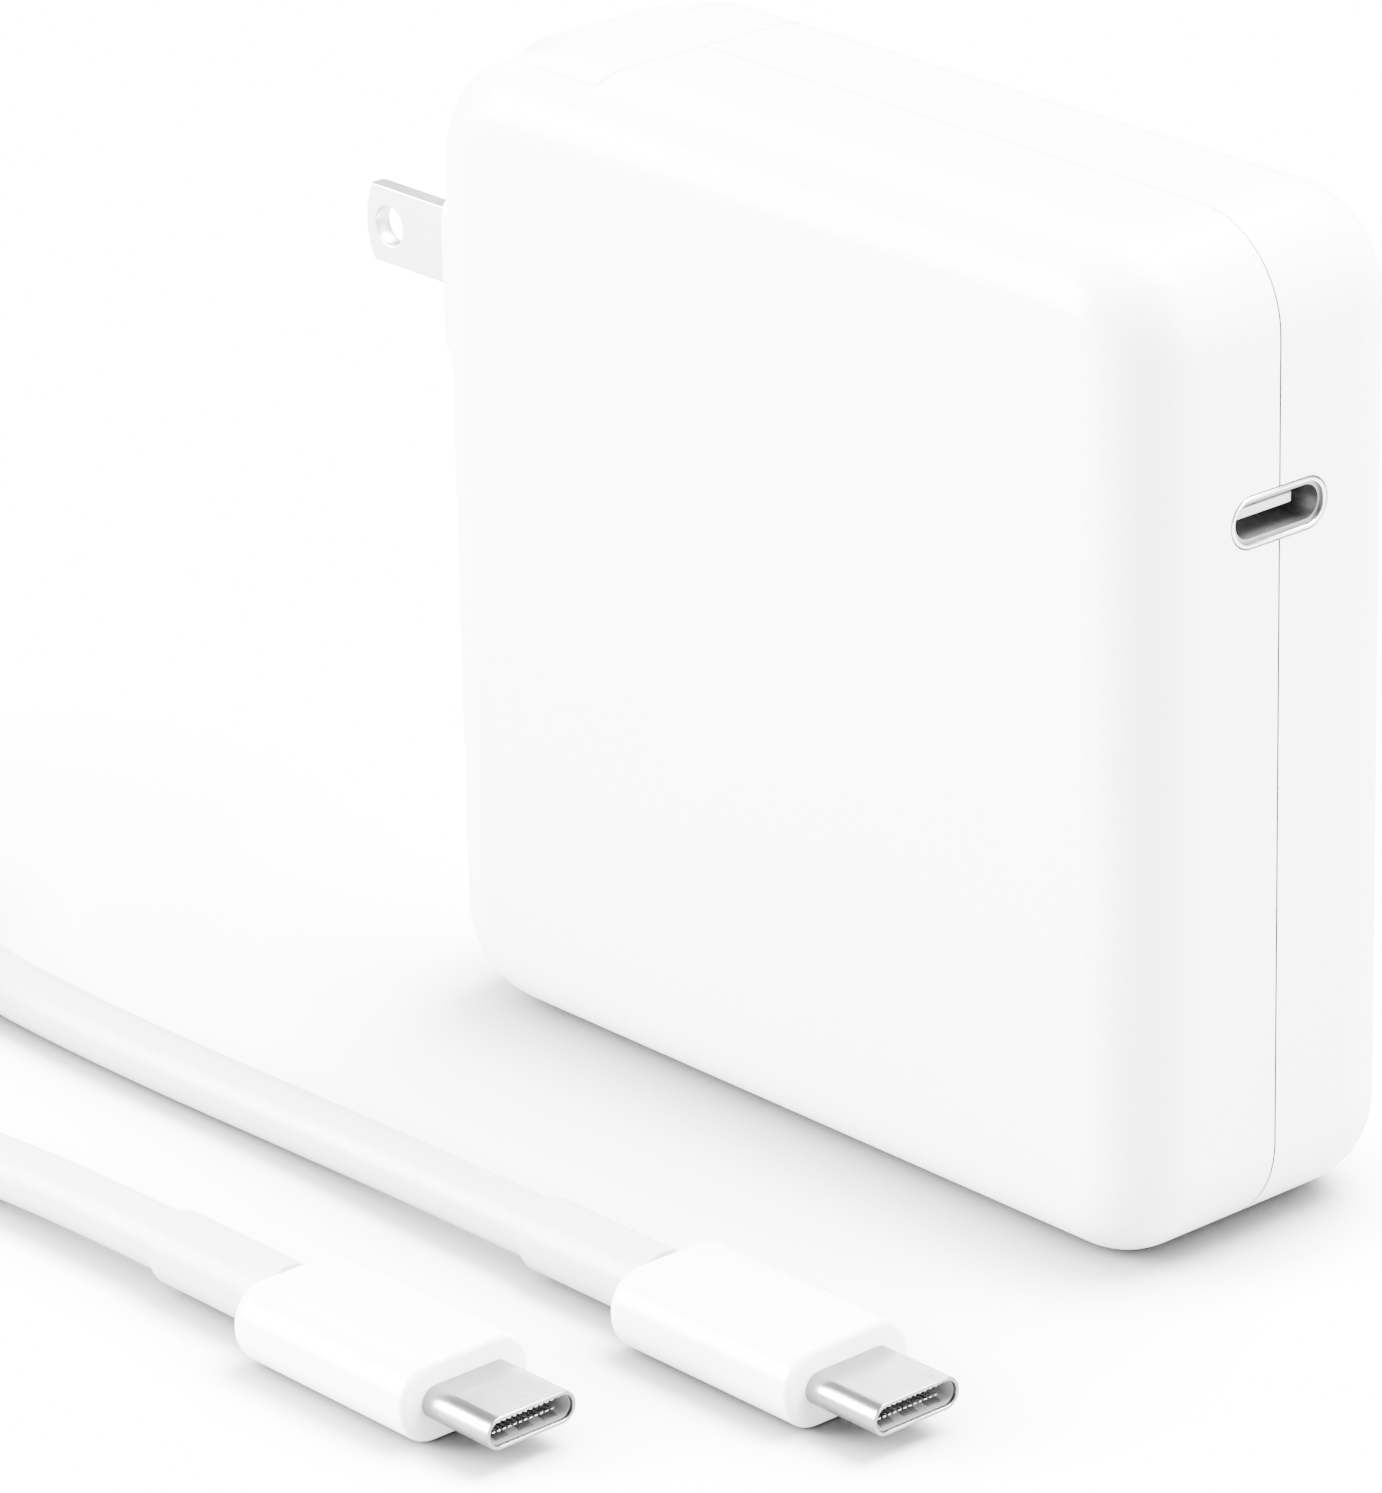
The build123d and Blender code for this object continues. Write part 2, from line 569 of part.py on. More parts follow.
# ---- charge cable: leads, coil and tie ----
def lead_tube(route):
    """Round tube along a route whose corners are arcs as large as their runs allow."""
    points = [Vector(*p) for p in route]
    radii = []
    for before, here, after in zip(points, points[1:], points[2:]):
        run_in = here - before
        run_out = after - here
        turn = run_in.get_angle(run_out)
        radii.append(0.45 * min(run_in.length, run_out.length) / tan(radians(turn) / 2))
    print("arc radii", [round(r, 1) for r in radii])
    with BuildPart() as tube:
        with BuildLine() as path:
            FilletPolyline(*points, radius=radii)
        with BuildSketch(Plane(points[0], z_dir=points[1] - points[0])):
            Circle(CABLE_D / 2)
        sweep()
    section = pi * CABLE_D**2 / 4
    print("tube length", round(path.wires()[0].length, 1))
    print("tube length from its volume", round(tube.part.volume / section, 1))
    return tube.part


write(lead_tube(NEAR_ROUTE), "near_lead")
write(lead_tube(FAR_ROUTE), "far_lead")

COIL_HEIGHT = (COIL_LAYERS - 1) * LAYER_PITCH + CABLE_D
with BuildPart() as cable_coil:
    with BuildSketch(Plane.XY.offset(COIL_BASE)):
        with Locations(COIL_CENTRE):
            Circle(COIL_R_OUT + CABLE_D / 2)
            Circle(COIL_R_IN - CABLE_D / 2, mode=Mode.SUBTRACT)
    extrude(amount=COIL_HEIGHT)
    fillet(cable_coil.edges().filter_by(GeomType.CIRCLE), 2.0)
write(cable_coil.part, "cable_coil")

TIE_WIDTH = 9.0
TIE_THICK = 0.8
TIE_ROOM = 1.4
with BuildPart() as cable_tie:
    ring_mid = (COIL_R_OUT + COIL_R_IN) / 2
    ring_width = COIL_R_OUT - COIL_R_IN + CABLE_D
    tie_size = (ring_width + TIE_ROOM, COIL_HEIGHT + 2 * (COIL_BASE - TIE_THICK))
    tie_middle = (COIL_CENTRE[0] - ring_mid, COIL_CENTRE[1], COIL_BASE + COIL_HEIGHT / 2)
    with BuildSketch(Plane(tie_middle, x_dir=(1, 0, 0), z_dir=(0, 1, 0))):
        RectangleRounded(tie_size[0] + 2 * TIE_THICK, tie_size[1] + 2 * TIE_THICK, 2.4)
        RectangleRounded(tie_size[0], tie_size[1], 1.6, mode=Mode.SUBTRACT)
    extrude(amount=TIE_WIDTH / 2, both=True)
write(cable_tie.part, "cable_tie")
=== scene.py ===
import math

import bpy
from bpy.props import FloatProperty, FloatVectorProperty, PointerProperty
from mathutils import Matrix, Vector


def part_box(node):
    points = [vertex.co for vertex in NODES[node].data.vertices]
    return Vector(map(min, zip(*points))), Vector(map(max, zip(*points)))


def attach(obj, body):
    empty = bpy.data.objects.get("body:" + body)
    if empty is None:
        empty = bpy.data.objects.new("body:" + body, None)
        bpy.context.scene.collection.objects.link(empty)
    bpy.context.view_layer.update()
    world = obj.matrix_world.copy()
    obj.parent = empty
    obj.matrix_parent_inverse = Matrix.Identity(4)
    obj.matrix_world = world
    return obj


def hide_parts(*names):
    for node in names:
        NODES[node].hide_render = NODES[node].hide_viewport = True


bl_info = {
    "name": "Laptop power adapter",
    "version": (1, 0, 0),
    "blender": (4, 5, 0),
    "location": "View3D > Sidebar > Power Adapter",
    "description": "Dresses and lights a laptop power adapter with its plug piece and charge cable",
    "category": "Object",
}

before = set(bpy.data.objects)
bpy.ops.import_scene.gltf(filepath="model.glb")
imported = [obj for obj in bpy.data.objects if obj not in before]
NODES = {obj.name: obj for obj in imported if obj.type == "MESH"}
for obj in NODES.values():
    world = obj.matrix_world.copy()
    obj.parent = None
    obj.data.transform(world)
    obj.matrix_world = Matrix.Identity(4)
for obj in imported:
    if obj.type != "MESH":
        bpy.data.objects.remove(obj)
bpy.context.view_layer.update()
MM = 0.001

# Control points of the cable's two free runs, in millimetres.
NEAR_RUN = [
    (-11.6, -63.7, 3.2),
    (-23.0, -63.7, 3.2),
    (-40.0, -64.2, 2.5),
    (-57.0, -67.0, 2.4),
    (-73.5, -74.2, 2.4),
    (-92.0, -81.8, 2.7),
]
FAR_RUN = [
    (-96.5, -19.6, 14.6),
    (-85.5, -27.9, 8.0),
    (-76.5, -36.9, 3.4),
    (-66.5, -41.4, 2.4),
    (-57.0, -42.3, 2.4),
    (-42.0, -42.5, 2.4),
    (-25.0, -42.1, 2.5),
    (-7.0, -42.5, 3.2),
    (5.8, -42.5, 3.2),
]

# The coil: its centre in millimetres, and how its turns are wound.
COIL_CENTRE = (-112.5, -52.0)
COIL_LAYERS = 4
TURNS_PER_LAYER = 2.625
POINTS_PER_TURN = 16
CLIMB_TURNS = 0.35
CABLE_RESOLUTION = 6

# The output port's rim. From here on, sizes are in metres.
RIM_GAP = 0.00012
RIM_WIDTH = 0.00045
RIM_ROUND = 0.00012
RIM_POINTS = 64

# A cable plug: its pieces, the moulding in its mouth, and three dark boxes in the lower lip,
# painted shade for its spring windows.
LINER_SET_BACK = 0.0003
LINER_LIP = 0.00008
THROAT = (0.00035, 0.0004)
THROAT_DEPTH = 0.0013
TONGUE_SLOT_DEPTH = 0.0048
WINDOW = (0.0007, 0.0013, 0.00006)
WINDOW_PITCH = 0.002295

# How far edges are eased, and which angles count as an edge, as smooth and as flat.
BLADE_EASE = 0.00012
TIP_EASE = 0.00009
LINER_EASE = 0.00003
WINDOW_EASE = 0.00002
EDGE_ANGLE = math.radians(40.0)
SMOOTH_ANGLE = math.radians(35.0)
FLAT_ANGLE = math.radians(1.0)
WELD = 0.000002

# The share of its normal along X by which a face looks along X, or stands beside it.
FACING = 0.9
BESIDE = 0.2
# A point of a bar counts as past its middle from this share of the bar's height.
PAST_MIDDLE = 0.01

# The moulded case: its gloss, and the painted shade on the walls of the seam between its halves,
# painted lighter on top, where light falls on it.
CASE_GLOSS = 0.24
CASE_DULL = 0.32
SEAM_SHADE_COLOUR = (0.03, 0.03, 0.032, 1.0)
SEAM_SHADE_ON_TOP = 0.2

# Plastic: slow mottle, fine grain, and how far light travels under it in red, green and blue.
PLASTIC_IOR = 1.5
PLASTIC_MOTTLE = 45.0
PLASTIC_GRAIN = 1500.0
PLASTIC_RELIEF = 0.0002
UNDER_SKIN = (0.002, 0.0019, 0.0018)

# Metal, wire and board: how fine their pattern is, how strongly it shows and how high it stands.
METAL_LINES = 900.0
METAL_STRENGTH = 0.1
METAL_RELIEF = 0.0001
WIRE_TURNS = 420.0
WIRE_STRENGTH = 0.6
WIRE_RELIEF = 0.0003
ENAMEL_COAT = 0.4
BOARD_STRENGTH = 0.35
BOARD_RELIEF = 0.0001

# The camera's angles, and its place in millimetres.
CAMERA_AZIMUTH = math.radians(48.62)
CAMERA_ELEVATION = math.radians(22.0)
CAMERA_ROLL = math.radians(-1.18)
CAMERA_DISTANCE = 647.8
CAMERA_OFFSET = (-16.26, -10.64)
CAMERA_AIM = (0.0, 0.0, 40.0)
SENSOR_WIDTH = 36.0
CLIP_START = 0.02
CLIP_END = 60.0

# The floor lies just under the adapter. It throws back less light than it shows, and has a painted
# contact shadow in the narrow strip where something stands on it.
FLOOR_DROP = 0.0001
FLOOR_BOUNCE = 0.42
FLOOR_SHINE = 0.2
FLOOR_STRENGTH = 0.05
CONTACT_SHADOW_REACH = 0.009
CONTACT_SHADOW_SAMPLES = 8

# Each softbox: its name, place, width, height and the setting that holds its power.
LIGHT_AIM = (0.0, 0.0, 0.04)
SOFTBOXES = (
    ("front_softbox", (-0.86, -0.9, 0.42), 0.9, 0.7, "front_power"),
    ("side_softbox", (1.2, 0.5, 0.4), 0.8, 0.8, "side_power"),
    ("top_softbox", (0.1, 0.5, 1.25), 1.2, 0.9, "top_power"),
)

# What the shader groups put out.
SURFACE = (
    ("Colour", "NodeSocketColor"),
    ("Roughness", "NodeSocketFloat"),
    ("Height", "NodeSocketFloat"),
)


# ---------------------------------------------------------------- settings


class AdapterColours(bpy.types.PropertyGroup):
    """Colours of the adapter's finishes."""

    case: FloatVectorProperty(
        name="Case",
        description="Gloss white of the moulded case",
        subtype="COLOR",
        size=4,
        min=0.0,
        max=1.0,
        default=(0.86, 0.86, 0.865, 1.0),
    )
    plug: FloatVectorProperty(
        name="Plug piece",
        description="Gloss white of the removable plug piece",
        subtype="COLOR",
        size=4,
        min=0.0,
        max=1.0,
        default=(0.86, 0.86, 0.865, 1.0),
    )
    cable: FloatVectorProperty(
        name="Cable",
        description="Satin white of the cable's jacket",
        subtype="COLOR",
        size=4,
        min=0.0,
        max=1.0,
        default=(0.47, 0.47, 0.474, 1.0),
    )
    metal: FloatVectorProperty(
        name="Bare metal",
        description="Nickel plate on the pins of the mains inlet",
        subtype="COLOR",
        size=4,
        min=0.0,
        max=1.0,
        default=(0.4, 0.4, 0.404, 1.0),
    )


class AdapterSizes(bpy.types.PropertyGroup):
    """Sizes of the charge cable and its coil."""

    cable_diameter: FloatProperty(
        name="Cable diameter",
        description="Diameter of the round charge cable",
        subtype="DISTANCE",
        unit="LENGTH",
        default=0.0048,
    )
    cable_length: FloatProperty(
        name="Cable length",
        description="Length of the cable from one plug to the other",
        subtype="DISTANCE",
        unit="LENGTH",
        default=1.92,
    )
    coil_outer: FloatProperty(
        name="Coil outer radius",
        description="Radius of the outermost turn of the coil",
        subtype="DISTANCE",
        unit="LENGTH",
        default=0.0322,
    )
    coil_inner: FloatProperty(
        name="Coil inner radius",
        description="Radius of the innermost turn of the coil",
        subtype="DISTANCE",
        unit="LENGTH",
        default=0.0196,
    )
    layer_pitch: FloatProperty(
        name="Layer pitch",
        description="Rise from one layer of the coil to the next",
        subtype="DISTANCE",
        unit="LENGTH",
        default=0.0047,
    )
    coil_rest: FloatProperty(
        name="First layer height",
        description="Height of the lowest turn's centre above the floor",
        subtype="DISTANCE",
        unit="LENGTH",
        default=0.0033,
    )


class AdapterStage(bpy.types.PropertyGroup):
    """Light, floor and camera."""

    lens: FloatProperty(
        name="Lens",
        description="Focal length of the camera",
        subtype="DISTANCE_CAMERA",
        unit="CAMERA",
        default=204.37,
    )
    room_strength: FloatProperty(
        name="Room light",
        description="Strength of the even light from all round",
        default=1.3,
        min=0.0,
    )
    front_power: FloatProperty(
        name="Front softbox",
        description="Power of the softbox in front, to the left",
        subtype="POWER",
        unit="POWER",
        default=230.0,
    )
    side_power: FloatProperty(
        name="Side softbox",
        description="Power of the softbox at the right",
        subtype="POWER",
        unit="POWER",
        default=60.0,
    )
    top_power: FloatProperty(
        name="Top softbox",
        description="Power of the softbox overhead",
        subtype="POWER",
        unit="POWER",
        default=310.0,
    )
    floor_size: FloatProperty(
        name="Floor size",
        description="Side of the square floor",
        subtype="DISTANCE",
        unit="LENGTH",
        default=14.0,
    )


def colours():
    """The scene's colours."""
    return bpy.context.scene.adapter_colours


def sizes():
    """The scene's cable sizes."""
    return bpy.context.scene.adapter_sizes


def stage():
    """The scene's lights, floor and camera."""
    return bpy.context.scene.adapter_stage


# ---------------------------------------------------------------- node groups


def start_group(name, inputs, outputs):
    """An empty shader group with those sockets, as (group, input node, output node)."""
    group = bpy.data.node_groups.new(name, "ShaderNodeTree")
    for label, kind, value in inputs:
        socket = group.interface.new_socket(label, in_out="INPUT", socket_type=kind)
        if value is not None:
            socket.default_value = value
    for label, kind in outputs:
        group.interface.new_socket(label, in_out="OUTPUT", socket_type=kind)
    return group, group.nodes.new("NodeGroupInput"), group.nodes.new("NodeGroupOutput")


def add_noise(group, vector, scale, detail, roughness=0.5):
    """Noise at a scale that the group is given."""
    noise = group.nodes.new("ShaderNodeTexNoise")
    noise.inputs["Detail"].default_value = detail
    noise.inputs["Roughness"].default_value = roughness
    group.links.new(vector, noise.inputs["Vector"])
    group.links.new(scale, noise.inputs["Scale"])
    return noise.outputs["Fac"]


def add_range(group, value, low, high, new_low, new_high):
    """A value moved from one range to another, whose limits are numbers or sockets."""
    step = group.nodes.new("ShaderNodeMapRange")
    group.links.new(value, step.inputs["Value"])
    for label, given in (
        ("From Min", low),
        ("From Max", high),
        ("To Min", new_low),
        ("To Max", new_high),
    ):
        if isinstance(given, bpy.types.NodeSocket):
            group.links.new(given, step.inputs[label])
        else:
            step.inputs[label].default_value = given
    return step.outputs["Result"]


def add_mix(group, factor, first, second):
    """Two colours mixed by a factor."""
    mix = group.nodes.new("ShaderNodeMix")
    mix.data_type = "RGBA"
    group.links.new(factor, mix.inputs[0])
    group.links.new(first, mix.inputs[6])
    group.links.new(second, mix.inputs[7])
    return mix.outputs[2]


def add_math(group, operation, first, second):
    """A sum, product or other step on two numbers or sockets."""
    step = group.nodes.new("ShaderNodeMath")
    step.operation = operation
    for socket, given in zip(step.inputs, (first, second)):
        if isinstance(given, bpy.types.NodeSocket):
            group.links.new(given, socket)
        else:
            socket.default_value = given
    return step.outputs[0]


def skin_group():
    """Moulded plastic: slow mottle in the colour, fine grain in the height, scuffs in the gloss."""
    name = "Moulded skin"
    if name in bpy.data.node_groups:
        return bpy.data.node_groups[name]
    group, given, result = start_group(
        name,
        [
            ("Vector", "NodeSocketVector", None),
            ("Colour", "NodeSocketColor", (0.8, 0.8, 0.8, 1.0)),
            ("Shade", "NodeSocketColor", (0.7, 0.7, 0.7, 1.0)),
            ("Mottle Scale", "NodeSocketFloat", 60.0),
            ("Grain Scale", "NodeSocketFloat", 1400.0),
            ("Gloss", "NodeSocketFloat", 0.2),
            ("Dull", "NodeSocketFloat", 0.3),
        ],
        SURFACE,
    )
    mottle = add_noise(group, given.outputs["Vector"], given.outputs["Mottle Scale"], 3.0)
    grain = add_noise(group, given.outputs["Vector"], given.outputs["Grain Scale"], 2.0)
    # Noise keeps to the middle of its range, so these limits spread it out.
    blotch = add_range(group, mottle, 0.35, 0.7, 0.0, 1.0)
    group.links.new(
        add_mix(group, blotch, given.outputs["Colour"], given.outputs["Shade"]),
        result.inputs["Colour"],
    )
    speckle = add_range(group, grain, 0.3, 0.7, given.outputs["Gloss"], given.outputs["Dull"])
    worn = add_range(group, mottle, 0.3, 0.75, given.outputs["Gloss"], given.outputs["Dull"])
    group.links.new(
        add_math(group, "MULTIPLY", add_math(group, "ADD", speckle, worn), 0.5),
        result.inputs["Roughness"],
    )
    group.links.new(grain, result.inputs["Height"])
    return group


def metal_group():
    """Drawn or brushed metal: long fine lines along the stretched axis, with slow stains."""
    name = "Brushed metal"
    if name in bpy.data.node_groups:
        return bpy.data.node_groups[name]
    group, given, result = start_group(
        name,
        [
            ("Vector", "NodeSocketVector", None),
            ("Stain Vector", "NodeSocketVector", None),
            ("Colour", "NodeSocketColor", (0.7, 0.7, 0.7, 1.0)),
            ("Shade", "NodeSocketColor", (0.5, 0.5, 0.5, 1.0)),
            ("Line Scale", "NodeSocketFloat", 900.0),
            ("Stain Scale", "NodeSocketFloat", 220.0),
            ("Gloss", "NodeSocketFloat", 0.2),
            ("Dull", "NodeSocketFloat", 0.35),
        ],
        SURFACE,
    )
    lines = add_noise(group, given.outputs["Vector"], given.outputs["Line Scale"], 5.0, 0.6)
    stain = add_noise(group, given.outputs["Stain Vector"], given.outputs["Stain Scale"], 2.0)
    both = add_math(group, "MULTIPLY", add_math(group, "ADD", lines, stain), 0.5)
    group.links.new(
        add_mix(
            group,
            add_range(group, both, 0.38, 0.66, 0.0, 1.0),
            given.outputs["Colour"],
            given.outputs["Shade"],
        ),
        result.inputs["Colour"],
    )
    group.links.new(
        add_range(group, both, 0.35, 0.65, given.outputs["Gloss"], given.outputs["Dull"]),
        result.inputs["Roughness"],
    )
    group.links.new(lines, result.inputs["Height"])
    return group


def wire_group():
    """Close-wound wire: round ridges side by side, with painted shade, a dark line, in the crease
    between two turns.
    """
    name = "Wound wire"
    if name in bpy.data.node_groups:
        return bpy.data.node_groups[name]
    group, given, result = start_group(
        name,
        [
            ("Vector", "NodeSocketVector", None),
            ("Colour", "NodeSocketColor", (0.5, 0.2, 0.05, 1.0)),
            ("Shade", "NodeSocketColor", (0.1, 0.03, 0.01, 1.0)),
            ("Turns Scale", "NodeSocketFloat", 400.0),
            ("Wander", "NodeSocketFloat", 0.4),
        ],
        SURFACE,
    )
    wave = group.nodes.new("ShaderNodeTexWave")
    wave.wave_type = "BANDS"
    wave.bands_direction = "Z"
    wave.wave_profile = "SIN"
    group.links.new(given.outputs["Vector"], wave.inputs["Vector"])
    group.links.new(given.outputs["Turns Scale"], wave.inputs["Scale"])
    group.links.new(given.outputs["Wander"], wave.inputs["Distortion"])
    ridge = wave.outputs["Fac"]
    # The troughs between turns are painted dark: painted shade in the crease.
    group.links.new(
        add_mix(
            group,
            add_range(group, ridge, 0.0, 0.35, 1.0, 0.0),
            given.outputs["Colour"],
            given.outputs["Shade"],
        ),
        result.inputs["Colour"],
    )
    group.links.new(add_range(group, ridge, 0.0, 1.0, 0.55, 0.28), result.inputs["Roughness"])
    group.links.new(ridge, result.inputs["Height"])
    return group


def board_group():
    """Solder mask over copper: narrow raised tracks and tinned pads on a grid."""
    name = "Printed board"
    if name in bpy.data.node_groups:
        return bpy.data.node_groups[name]
    group, given, result = start_group(
        name,
        [
            ("Vector", "NodeSocketVector", None),
            ("Mask", "NodeSocketColor", (0.01, 0.09, 0.03, 1.0)),
            ("Track", "NodeSocketColor", (0.03, 0.18, 0.07, 1.0)),
            ("Pad", "NodeSocketColor", (0.6, 0.58, 0.52, 1.0)),
            ("Track Scale", "NodeSocketFloat", 260.0),
            ("Pad Scale", "NodeSocketFloat", 400.0),
        ],
        SURFACE,
    )
    cells = group.nodes.new("ShaderNodeTexVoronoi")
    cells.feature = "F1"
    cells.distance = "CHEBYCHEV"
    group.links.new(given.outputs["Vector"], cells.inputs["Vector"])
    group.links.new(given.outputs["Track Scale"], cells.inputs["Scale"])
    track = add_range(group, cells.outputs["Distance"], 0.3, 0.36, 1.0, 0.0)
    dots = group.nodes.new("ShaderNodeTexVoronoi")
    dots.feature = "F1"
    dots.inputs["Randomness"].default_value = 0.35
    group.links.new(given.outputs["Vector"], dots.inputs["Vector"])
    group.links.new(given.outputs["Pad Scale"], dots.inputs["Scale"])
    pad = add_range(group, dots.outputs["Distance"], 0.16, 0.2, 1.0, 0.0)
    masked = add_mix(group, track, given.outputs["Mask"], given.outputs["Track"])
    group.links.new(add_mix(group, pad, masked, given.outputs["Pad"]), result.inputs["Colour"])
    group.links.new(add_range(group, pad, 0.0, 1.0, 0.42, 0.25), result.inputs["Roughness"])
    group.links.new(add_math(group, "MAXIMUM", track, pad), result.inputs["Height"])
    return group


def seam_group():
    """Painted shade in the narrow seam between the case halves: its walls are painted dark, less on
    top where light falls; the skin beside them isn't.
    """
    name = "Seam shadow"
    if name in bpy.data.node_groups:
        return bpy.data.node_groups[name]
    group, given, result = start_group(
        name,
        [
            ("Vector", "NodeSocketVector", None),
            ("Colour", "NodeSocketColor", (0.8, 0.8, 0.8, 1.0)),
            ("Joint", "NodeSocketColor", (0.1, 0.1, 0.1, 1.0)),
            ("Half Width", "NodeSocketFloat", 0.00008),
            ("Low Top", "NodeSocketFloat", 0.072),
            ("High Top", "NodeSocketFloat", 0.079),
        ],
        [("Colour", "NodeSocketColor")],
    )
    split = group.nodes.new("ShaderNodeSeparateXYZ")
    group.links.new(given.outputs["Vector"], split.inputs[0])
    # The seam's walls are painted dark as shade, less so towards the top face, which is lit.
    off = add_math(group, "ABSOLUTE", split.outputs["Y"], 0.0)
    seam_shade = add_math(group, "LESS_THAN", off, given.outputs["Half Width"])
    lit = add_range(
        group,
        split.outputs["Z"],
        given.outputs["Low Top"],
        given.outputs["High Top"],
        1.0,
        SEAM_SHADE_ON_TOP,
    )
    painted_seam_shade = add_math(group, "MULTIPLY", seam_shade, lit)
    group.links.new(
        add_mix(group, painted_seam_shade, given.outputs["Colour"], given.outputs["Joint"]),
        result.inputs["Colour"],
    )
    return group


# ---------------------------------------------------------------- finishes


def rgb(red, green, blue):
    """An opaque colour."""
    return (red, green, blue, 1.0)


def darker(colour, share):
    """The colour at a share of its brightness."""
    return rgb(*(part * share for part in colour[:3]))


def start_material(name):
    """A new material, its shader, and its object coordinates."""
    material = bpy.data.materials.new(name)
    material.use_nodes = True
    nodes = material.node_tree.nodes
    return material, nodes["Principled BSDF"], nodes.new("ShaderNodeTexCoord").outputs["Object"]


def place_group(material, group, values):
    """The shader group as a node of the material, with its own values."""
    node = material.node_tree.nodes.new("ShaderNodeGroup")
    node.node_tree = group
    for label, value in values.items():
        node.inputs[label].default_value = value
    return node


def connect(material, shader, effect, relief, reach):
    """The group's colour, roughness and height feed the shader."""
    links = material.node_tree.links
    bump = material.node_tree.nodes.new("ShaderNodeBump")
    bump.inputs["Strength"].default_value = relief
    bump.inputs["Distance"].default_value = reach
    links.new(effect.outputs["Colour"], shader.inputs["Base Color"])
    links.new(effect.outputs["Roughness"], shader.inputs["Roughness"])
    links.new(effect.outputs["Height"], bump.inputs["Height"])
    links.new(bump.outputs["Normal"], shader.inputs["Normal"])


def plastic(name, colour, gloss, dull, shade=0.97, grain=PLASTIC_GRAIN, relief=0.08, under=0.0):
    """Moulded plastic, from glossy to satin, with some light under its skin if it is white."""
    material, shader, place = start_material(name)
    effect = place_group(
        material,
        skin_group(),
        {
            "Colour": colour,
            "Shade": darker(colour, shade),
            "Mottle Scale": PLASTIC_MOTTLE,
            "Grain Scale": grain,
            "Gloss": gloss,
            "Dull": dull,
        },
    )
    material.node_tree.links.new(place, effect.inputs["Vector"])
    connect(material, shader, effect, relief, PLASTIC_RELIEF)
    shader.inputs["IOR"].default_value = PLASTIC_IOR
    shader.inputs["Subsurface Weight"].default_value = under
    shader.inputs["Subsurface Radius"].default_value = UNDER_SKIN
    shader.inputs["Subsurface Scale"].default_value = 1.0
    return material


def case_plastic(name, colour, gloss, dull, under):
    """Gloss plastic with painted shade on the walls of the seam between its two halves."""
    material = plastic(name, colour, gloss, dull, under=under)
    nodes, links = material.node_tree.nodes, material.node_tree.links
    shader = nodes["Principled BSDF"]
    skin = shader.inputs["Base Color"].links[0].from_socket
    # Painted shade on the walls of the seam.
    seam_shade = place_group(material, seam_group(), {"Joint": SEAM_SHADE_COLOUR})
    place = nodes["Texture Coordinate"].outputs["Object"]
    links.new(place, seam_shade.inputs["Vector"])
    links.new(skin, seam_shade.inputs["Colour"])
    links.new(seam_shade.outputs["Colour"], shader.inputs["Base Color"])
    return material


def metal(name, colour, gloss, dull, shade=0.8, stretch=(0.04, 1.0, 1.0)):
    """Drawn or brushed metal, whose fine lines run along the axis that is stretched most."""
    material, shader, place = start_material(name)
    mapping = material.node_tree.nodes.new("ShaderNodeMapping")
    mapping.inputs["Scale"].default_value = stretch
    effect = place_group(
        material,
        metal_group(),
        {
            "Colour": colour,
            "Shade": darker(colour, shade),
            "Line Scale": METAL_LINES,
            "Gloss": gloss,
            "Dull": dull,
        },
    )
    links = material.node_tree.links
    links.new(place, mapping.inputs["Vector"])
    links.new(mapping.outputs["Vector"], effect.inputs["Vector"])
    links.new(place, effect.inputs["Stain Vector"])
    connect(material, shader, effect, METAL_STRENGTH, METAL_RELIEF)
    shader.inputs["Metallic"].default_value = 1.0
    return material


def wire(name, colour):
    """Enamelled wire, wound turn beside turn."""
    material, shader, place = start_material(name)
    effect = place_group(
        material,
        wire_group(),
        {"Colour": colour, "Shade": darker(colour, 0.25), "Turns Scale": WIRE_TURNS},
    )
    material.node_tree.links.new(place, effect.inputs["Vector"])
    connect(material, shader, effect, WIRE_STRENGTH, WIRE_RELIEF)
    shader.inputs["Coat Weight"].default_value = ENAMEL_COAT
    return material


def printed_board(name, colour):
    """A circuit board: tracks and pads under its solder mask."""
    material, shader, place = start_material(name)
    effect = place_group(material, board_group(), {"Mask": colour})
    material.node_tree.links.new(place, effect.inputs["Vector"])
    connect(material, shader, effect, BOARD_STRENGTH, BOARD_RELIEF)
    return material


def look(gloss, dull, **others):
    """The values of one finish: its roughness where it shines and where it is dull, and others."""
    return {"gloss": gloss, "dull": dull, **others}


